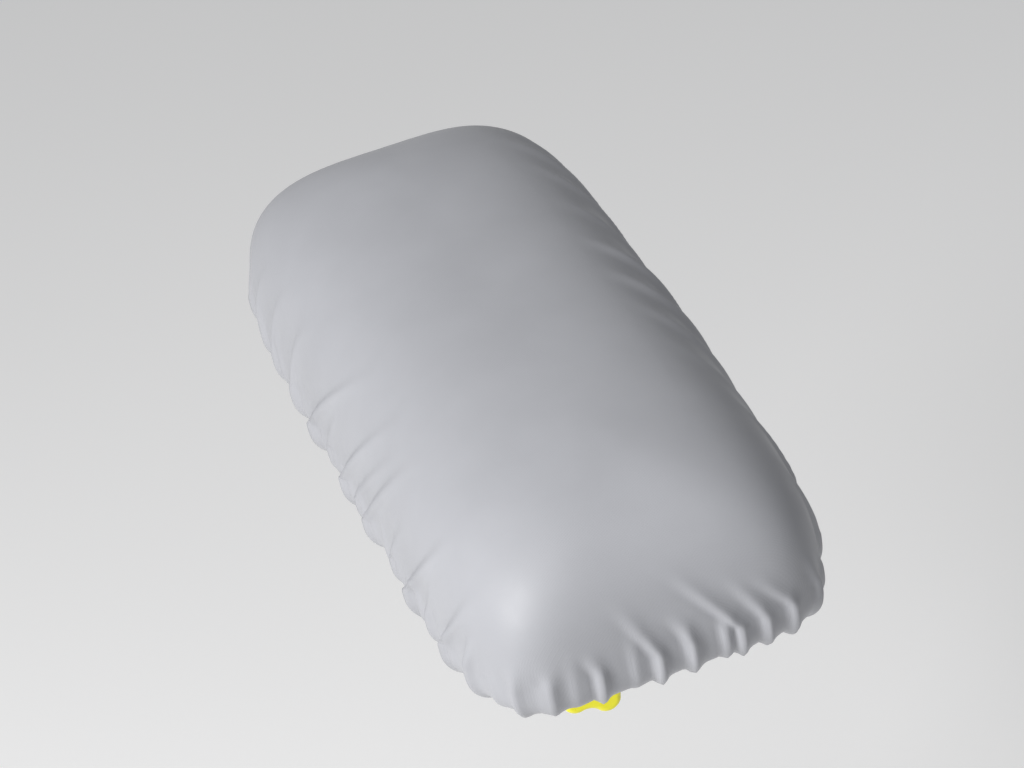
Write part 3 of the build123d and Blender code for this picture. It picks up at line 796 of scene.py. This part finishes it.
class Shading:
    """A material being made: its nodes, its shader, and object coordinates in metres."""

    def __init__(self, name, color, roughness, **sockets):
        self.material = bpy.data.materials.new(name)
        self.material.use_nodes = True
        self.nodes = self.material.node_tree.nodes
        self.links = self.material.node_tree.links
        self.shader = self.nodes["Principled BSDF"]
        self.shader.inputs["Base Color"].default_value = (*color, 1)
        self.shader.inputs["Roughness"].default_value = roughness
        for socket, value in sockets.items():
            self.shader.inputs[socket.replace("_", " ")].default_value = value
        self.place = self.nodes.new("ShaderNodeTexCoord").outputs["Object"]
        self.normal = None

    def node(self, kind, **inputs):
        """A new node. Each of its inputs is given a value or the output of another node."""
        node = self.nodes.new("ShaderNode" + kind)
        for name, value in inputs.items():
            self.give(node.inputs[name.replace("_", " ")], value)
        return node

    def give(self, socket, value):
        if isinstance(value, bpy.types.NodeSocket):
            self.links.new(value, socket)
        else:
            socket.default_value = value

    def noise(self, size, detail, stretch=(1, 1, 1)):
        """Noise whose blobs are about size across."""
        mapping = self.node("Mapping", Vector=self.place, Scale=[s / size for s in stretch])
        texture = self.node("TexNoise", Vector=mapping.outputs["Vector"], Scale=1.0, Detail=detail)
        return texture.outputs["Fac"]

    def cells(self, size, feature="F1"):
        """Cells about size across: how far each point is from its cell's middle, or from its edge."""
        mapping = self.node("Mapping", Vector=self.place, Scale=[1 / size] * 3)
        texture = self.node("TexVoronoi", Vector=mapping.outputs["Vector"], Scale=1.0)
        texture.feature = feature
        return texture.outputs["Distance"]

    def waves(self, size, direction):
        """Waves that are size apart."""
        texture = self.node("TexWave", Vector=self.place, Scale=WAVE_AT_SCALE_1 / size)
        texture.bands_direction = direction
        return texture.outputs["Fac"]

    def weave(self, size):
        """Small raised points in rows along X and Y, size apart."""
        return self.math("MULTIPLY", self.waves(size, "X"), self.waves(size, "Y"))

    def spread(self, value, low, high, from_low=0.3, from_high=0.7):
        """value, spread from its usual range to low and high."""
        node = self.node(
            "MapRange", Value=value, From_Min=from_low, From_Max=from_high, To_Min=low, To_Max=high
        )
        return node.outputs["Result"]

    def math(self, operation, a, b):
        node = self.nodes.new("ShaderNodeMath")
        node.operation = operation
        self.give(node.inputs[0], a)
        self.give(node.inputs[1], b)
        return node.outputs["Value"]

    def colors(self, value, first, second):
        """The base colour runs from first to second as value goes from 0 to 1."""
        mix = self.nodes.new("ShaderNodeMix")
        mix.data_type = "RGBA"
        mix.inputs["A"].default_value = (*first, 1)
        mix.inputs["B"].default_value = (*second, 1)
        self.links.new(value, mix.inputs["Factor"])
        self.links.new(mix.outputs["Result"], self.shader.inputs["Base Color"])

    def roughness(self, value):
        self.links.new(value, self.shader.inputs["Roughness"])

    def mottle(self, size, detail, first, second):
        """Blobs about size across, whose colours run from first to second."""
        self.colors(self.spread(self.noise(size, detail), 0, 1), first, second)

    def uneven(self, size, detail, low, high):
        """Blobs about size across, whose roughness runs from low to high."""
        self.roughness(self.spread(self.noise(size, detail), low, high))

    def bump(self, height, distance, strength):
        """Raises the surface by up to distance where height is 1. Bumps add up."""
        node = self.node("Bump", Height=height, Distance=distance, Strength=strength)
        if self.normal is not None:
            self.links.new(self.normal, node.inputs["Normal"])
        self.bend(node)

    def round_edges(self, radius):
        """Sharp edges catch the light as if they were rounded to this radius."""
        node = self.node("Bevel", Radius=radius)
        node.samples = 4
        self.bend(node)

    def bend(self, node):
        """Makes the node's normal the shader's."""
        self.normal = node.outputs["Normal"]
        self.links.new(self.normal, self.shader.inputs["Normal"])


def shade_of(color, factor):
    return tuple(min(1.0, c * factor) for c in color)


COVER_GREY = (0.405, 0.409, 0.434)


def cover_cloth():
    """Smooth coated stretch knit: faint fine rows, soft uneven drape, semi-matt with a little sheen."""
    cloth = Shading(
        "cover_cloth", COVER_GREY, 0.5, Sheen_Weight=0.12, Sheen_Roughness=0.45, Specular_IOR_Level=0.42
    )
    cloth.mottle(38 * MM, 3, shade_of(COVER_GREY, 0.975), shade_of(COVER_GREY, 1.025))
    cloth.uneven(14 * MM, 3, 0.43, 0.55)
    cloth.bump(cloth.noise(26 * MM, 1), 0.5 * MM, 0.35)
    cloth.bump(cloth.weave(0.55 * MM), 0.05 * MM, 0.5)
    cloth.bump(cloth.noise(0.9 * MM, 2), 0.06 * MM, 0.4)
    return cloth.material


def thread():
    twist = Shading("grey_thread", (0.34, 0.35, 0.37), 0.55, Sheen_Weight=0.3)
    twist.bump(twist.noise(0.25 * MM, 1, (1, 1, 2)), 0.08 * MM, 0.8)
    twist.mottle(0.6 * MM, 2, (0.30, 0.31, 0.33), (0.40, 0.41, 0.43))
    return twist.material


def elastic_band():
    band = Shading("elastic_band", (0.75, 0.75, 0.72), 0.7, Sheen_Weight=0.3)
    band.bump(band.weave(0.7 * MM), 0.15 * MM, 0.7)
    band.mottle(3 * MM, 2, (0.70, 0.70, 0.67), (0.80, 0.80, 0.78))
    return band.material


def upholstery_vinyl():
    vinyl = Shading("upholstery_vinyl", (0.62, 0.60, 0.55), 0.42, Specular_IOR_Level=0.5)
    vinyl.mottle(25 * MM, 3, (0.58, 0.56, 0.51), (0.66, 0.64, 0.59))
    vinyl.uneven(6 * MM, 3, 0.36, 0.5)
    vinyl.bump(vinyl.cells(1.3 * MM, "DISTANCE_TO_EDGE"), 0.15 * MM, 0.8)
    return vinyl.material


def fibre_wadding():
    fibre = Shading("polyester_fibre", (0.86, 0.86, 0.84), 0.9, Sheen_Weight=0.6)
    fibre.mottle(6 * MM, 5, (0.78, 0.78, 0.76), (0.92, 0.92, 0.91))
    fibre.bump(fibre.noise(1.6 * MM, 6, (1, 2.5, 1)), 0.8 * MM, 0.9)
    return fibre.material


def foam(name, color):
    cells = Shading(name, color, 0.92, Sheen_Weight=0.2)
    cells.mottle(14 * MM, 4, shade_of(color, 0.9), shade_of(color, 1.06))
    cells.bump(cells.cells(1.1 * MM), 0.5 * MM, 0.9)
    return cells.material


def birch_plywood():
    """Pale faces with long grain, and the dark and light plies on the edges."""
    wood = Shading("birch_plywood", (0.66, 0.50, 0.32), 0.55)
    grain = wood.noise(2.2 * MM, 5, (1, 0.05, 1))
    plies = wood.waves(3.0 * MM, "Z")
    tone = wood.math("ADD", wood.spread(grain, 0, 0.6), wood.math("MULTIPLY", plies, 0.4))
    wood.colors(tone, (0.50, 0.34, 0.19), (0.74, 0.58, 0.38))
    wood.roughness(wood.spread(grain, 0.45, 0.68))
    wood.bump(grain, 0.12 * MM, 0.6)
    return wood.material


def dust_cloth():
    """Black non-woven cloth with its rows of small pressed points."""
    cloth = Shading("dust_cloth", (0.022, 0.022, 0.025), 0.85, Sheen_Weight=0.35)
    cloth.mottle(3 * MM, 5, (0.014, 0.014, 0.016), (0.036, 0.036, 0.04))
    cloth.bump(cloth.weave(1.6 * MM), 0.12 * MM, 0.7)
    cloth.bump(cloth.noise(22 * MM, 2), 0.6 * MM, 0.4)
    return cloth.material


def powder_coat():
    """Cream powder coat: fine orange peel, rounded edges, and faint rubbed marks."""
    coat = Shading("cream_powder_coat", (0.79, 0.74, 0.58), 0.38, Coat_Weight=0.15, Coat_Roughness=0.25)
    coat.mottle(30 * MM, 4, (0.765, 0.715, 0.555), (0.81, 0.76, 0.61))
    coat.uneven(9 * MM, 5, 0.33, 0.46)
    coat.round_edges(0.6 * MM)
    coat.bump(coat.noise(1.7 * MM, 1), 0.12 * MM, 0.35)
    return coat.material


def satin_chrome():
    """Polished along the post, with fine lengthwise sliding marks."""
    chrome = Shading("satin_chrome", (0.78, 0.79, 0.81), 0.16, Metallic=1.0)
    marks = chrome.noise(0.9 * MM, 4, (1, 1, 0.02))
    chrome.mottle(20 * MM, 3, (0.74, 0.75, 0.77), (0.82, 0.83, 0.85))
    chrome.roughness(chrome.spread(marks, 0.10, 0.26))
    chrome.round_edges(0.8 * MM)
    chrome.bump(marks, 0.02 * MM, 0.3)
    return chrome.material


def bright_zinc():
    zinc = Shading("bright_zinc", (0.62, 0.64, 0.66), 0.32, Metallic=1.0)
    spangle = zinc.cells(2.2 * MM)
    zinc.colors(zinc.spread(spangle, 0, 1, 0, 1), (0.66, 0.67, 0.70), (0.54, 0.56, 0.58))
    zinc.uneven(1.8 * MM, 4, 0.26, 0.44)
    zinc.round_edges(0.15 * MM)
    zinc.bump(zinc.noise(0.6 * MM, 3), 0.03 * MM, 0.4)
    return zinc.material


def machined_brass():
    brass = Shading("machined_brass", (0.72, 0.52, 0.20), 0.3, Metallic=1.0)
    cuts = brass.noise(0.4 * MM, 2, (0.05, 1, 1))
    brass.mottle(5 * MM, 4, (0.62, 0.43, 0.15), (0.78, 0.58, 0.25))
    brass.roughness(brass.spread(cuts, 0.22, 0.42))
    brass.round_edges(0.2 * MM)
    brass.bump(cuts, 0.03 * MM, 0.4)
    return brass.material


def black_nylon():
    nylon = Shading("black_nylon", (0.018, 0.018, 0.02), 0.48)
    nylon.mottle(12 * MM, 3, (0.014, 0.014, 0.016), (0.024, 0.024, 0.027))
    nylon.uneven(3 * MM, 4, 0.4, 0.58)
    nylon.round_edges(0.35 * MM)
    nylon.bump(nylon.noise(0.35 * MM, 2), 0.04 * MM, 0.5)
    return nylon.material


def matt_rubber():
    rubber = Shading("matt_rubber", (0.02, 0.02, 0.02), 0.8)
    rubber.mottle(8 * MM, 4, (0.014, 0.014, 0.014), (0.035, 0.035, 0.034))
    rubber.round_edges(0.4 * MM)
    rubber.bump(rubber.noise(0.7 * MM, 3), 0.06 * MM, 0.5)
    return rubber.material


def yellow_plastic():
    """Bright moulded yellow, with a faint flow in its colour and slightly rubbed grips."""
    plastic = Shading("yellow_plastic", (0.95, 0.90, 0.005), 0.3, Coat_Weight=0.25, Coat_Roughness=0.15)
    plastic.mottle(14 * MM, 3, (0.93, 0.86, 0.004), (0.97, 0.92, 0.01))
    plastic.uneven(5 * MM, 4, 0.26, 0.4)
    plastic.bump(plastic.noise(0.5 * MM, 2), 0.025 * MM, 0.4)
    return plastic.material


# ---- the pieces ----
COVER_SPARE = 0.05  # how much larger the cover is cut than the skin that it covers, for its gathers


def declare_sheet(inset, hem_inset, growth):
    """Works out the area of a sheet that was cut flat over a skin, grown by growth. Nothing reads the area.
    """
    skin = Skin(inset, LAYER_COLUMNS, LAYER_SPACING, hem_inset)
    area = growth**2 * surface_area(skin)


def surface_area(skin):
    points = skin.vertices()
    corners = points[np.array(skin.faces())]
    halves = np.cross(corners[:, 2] - corners[:, 0], corners[:, 3] - corners[:, 1])
    return np.linalg.norm(halves, axis=1).sum() / 2


WELD_R = 2.3 * MM
WELD_STEP = 2.2 * MM  # from one ripple to the next
WELD_SQUARENESS = 14
POINTS_IN_RIPPLE = 4
RIPPLE_HEIGHT = 0.1
RIPPLE_CURVE = 0.9
WELD_SIDES = 10


def weld_bead(name, centre, u, v, half_u, half_v, material):
    """A rippled bead round a rectangular joint in the plane of the unit vectors u and v."""
    columns = [round(2 * half / WELD_STEP) * POINTS_IN_RIPPLE for half in (half_v, half_u)]
    line = outline(half_u, half_v, WELD_SQUARENESS, columns)
    out = outward(line)
    normal = np.cross(u, v)
    phase = np.arange(len(line)) / POINTS_IN_RIPPLE * 2 * math.pi
    vertices = np.zeros((len(line), WELD_SIDES, 3))
    for k in range(WELD_SIDES):
        turn = 2 * math.pi * k / WELD_SIDES
        radius = WELD_R * (1 + RIPPLE_HEIGHT * np.cos(phase - RIPPLE_CURVE * math.cos(turn)))
        flat = line + out * (radius * math.cos(turn))[:, None]
        vertices[:, k] = flat[:, :1] * u + flat[:, 1:] * v + (radius * math.sin(turn))[:, None] * normal
    bead = mesh_object(name, vertices.reshape(-1, 3) + centre, tube_faces(len(line), WELD_SIDES))
    bead.data.materials.append(material)
    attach(bead, "bracket")


def make_welds():
    """The beads that join the arm to the plate and the socket, and the clamp's boss to the socket."""
    paint = frame["nodes"]["bracket_arm"].material_slots[0].material
    x_axis, y_axis, z_axis = np.eye(3)
    low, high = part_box("bracket_arm")
    weld_bead("weld_at_plate", [high.x, 0, 0], y_axis, z_axis, high.y, high.z, paint)
    weld_bead("weld_at_socket", [low.x, 0, 0], y_axis, z_axis, high.y, high.z, paint)
    low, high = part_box("clamp_housing")
    middle, half = (low.x + high.x) / 2, (high.x - low.x) / 2
    weld_bead("weld_at_clamp", [middle, high.y, 0], z_axis, x_axis, half, half, paint)


def make_covering():
    """The cover, its hem, and the stitches that hold it."""
    cover, seam_line, seam_normals = make_cover()
    hem = make_hem(np.random.default_rng(SEED + 1))
    stitches = make_stitches(seam_line, seam_normals)
    cloth = cover_cloth()
    for piece in (cover, hem):
        piece.data.materials.append(cloth)
        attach(piece, "armrest")
    stitches.data.materials.append(thread())
    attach(stitches, "armrest")
    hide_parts("fitted_cover")
    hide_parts("cover_hem")
    declare_sheet(0, HEM_INSET, 1 + COVER_SPARE)


def make_vinyl():
    vinyl = layer_shell("upholstery_skin", VINYL_INSET, VINYL_T, VINYL_EDGE)
    vinyl.data.materials.append(upholstery_vinyl())
    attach(vinyl, "armrest")
    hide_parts("vinyl_upholstery")
    declare_sheet(VINYL_INSET, VINYL_EDGE, 1)


def make_wadding():
    wadding = layer_shell("fibre_layer", WADDING_INSET, WADDING_T, WADDING_EDGE)
    wadding.data.materials.append(fibre_wadding())
    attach(wadding, "armrest")
    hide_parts("fibre_wrap")


def make_foams():
    foam_low, foam_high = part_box("support_foam")
    soft = foam_block("soft_foam_crown", FOAM_INSET, foam_high.z)
    firm = foam_block("firm_foam_block", FOAM_INSET, foam_low.z, foam_high.z - FOAM_GAP)
    for piece, slot, color, node in (
        (soft, "soft_foam", (0.80, 0.73, 0.50), "comfort_foam"),
        (firm, "firm_foam", (0.42, 0.50, 0.56), "support_foam"),
    ):
        piece.data.materials.append(foam(slot + "_cells", color))
        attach(piece, "armrest")
        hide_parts(node)


SHARP_ANGLE = 35  # degrees
CAD_FINISHES = {
    elastic_band: ["hem_elastic"],
    birch_plywood: ["base_board"],
    dust_cloth: ["underside_cloth"],
    powder_coat: ["mounting_plate", "bracket_arm", "socket_tube", "clamp_housing", "pad_plate"],
    satin_chrome: ["post_tube"],
    bright_zinc: [
        "tee_nuts", "staples", "plate_washers", "plate_screws", "retaining_plate", "retaining_screws",
        "clamp_spindle",
    ],
    black_nylon: ["post_end_cap", "upper_guide", "lower_guide", "knob_cap"],
    matt_rubber: ["drop_bumper"],
    yellow_plastic: ["clamp_knob"],
    machined_brass: ["pressure_shoe"],
}


def finish_cad_nodes():
    """Gives the CAD nodes their materials. Their round faces shade smoothly, and their edges stay sharp."""
    for make, names in CAD_FINISHES.items():
        material = make()
        for name in names:
            node = frame["nodes"][name]
            node.material_slots[0].material = material
            node.data.shade_smooth()
            node.data.set_sharp_from_angle(angle=math.radians(SHARP_ANGLE))


# ---- the studio ----
FLOOR_DROP = 0.36  # how far the floor is below the bracket
FLOOR_REACH = 6.0
AIR_COLOR = (0.95, 0.97, 1.0, 1)
AIR_STRENGTH = 0.22
LENS = 150  # mm
AIM_HEIGHT = 34 * MM  # the camera looks at the bolster's middle, this far above the cover's bottom
CAMERA_PLACE = Vector((-0.4315, -1.539, 1.156))
CAMERA_RIGHT = Vector((0.850, -0.527, 0))
CAMERA_AHEAD = Vector((0.4007, 0.6463, -0.6494))
CAMERA_UP = Vector((0.3423, 0.5520, 0.7604))


def make_camera():
    data = bpy.data.cameras.new("camera")
    camera = add_object("camera", data)
    bpy.context.scene.camera = camera
    camera.location = CAMERA_PLACE
    data.lens = LENS
    aim = (Vector((CENTRE.x, CENTRE.y, COVER_BOTTOM + AIM_HEIGHT)) - CAMERA_PLACE).normalized()
    stance = Matrix((CAMERA_RIGHT, CAMERA_UP, -CAMERA_AHEAD)).transposed()
    camera.rotation_euler = (CAMERA_AHEAD.rotation_difference(aim).to_matrix() @ stance).to_euler()


def area_light(name, place, size, power):
    data = bpy.data.lights.new(name, "AREA")
    data.size = size
    data.energy = power
    light = add_object(name, data)
    light.location = CENTRE + Vector(place)
    light.rotation_euler = (-Vector(place)).to_track_quat("-Z", "Y").to_euler()


def make_studio():
    """A wide flat floor well below the bracket, two soft lights, and pale air."""
    reach, z = FLOOR_REACH, cad_low.z - FLOOR_DROP
    corners = [(-reach, -reach, z), (reach, -reach, z), (reach, reach, z), (-reach, reach, z)]
    backdrop = mesh_object("floor", corners, [(0, 1, 2, 3)])
    paint = Shading(
        "floor_paint", (0.90, 0.895, 0.89), 0.75, Emission_Color=(1, 1, 1, 1), Emission_Strength=0.16
    )
    paint.mottle(0.9, 2, (0.89, 0.885, 0.88), (0.92, 0.915, 0.91))
    backdrop.data.materials.append(paint.material)
    area_light("key_light", (-1.3, -0.7, 1.0), 0.8, 34)
    area_light("top_light", (-0.6, -0.5, 2.2), 1.4, 10)
    world = bpy.data.worlds.new("studio_air")
    bpy.context.scene.world = world
    world.use_nodes = True
    air = world.node_tree.nodes["Background"].inputs
    air["Color"].default_value = AIR_COLOR
    air["Strength"].default_value = AIR_STRENGTH
    bpy.context.scene.view_settings.view_transform = "Standard"


for made in [o for o in bpy.data.objects if o.name in ("Cube", "Camera", "Light")]:
    bpy.data.objects.remove(made)
make_covering()
make_vinyl()
make_wadding()
make_foams()
finish_cad_nodes()
make_welds()
make_camera()
make_studio()
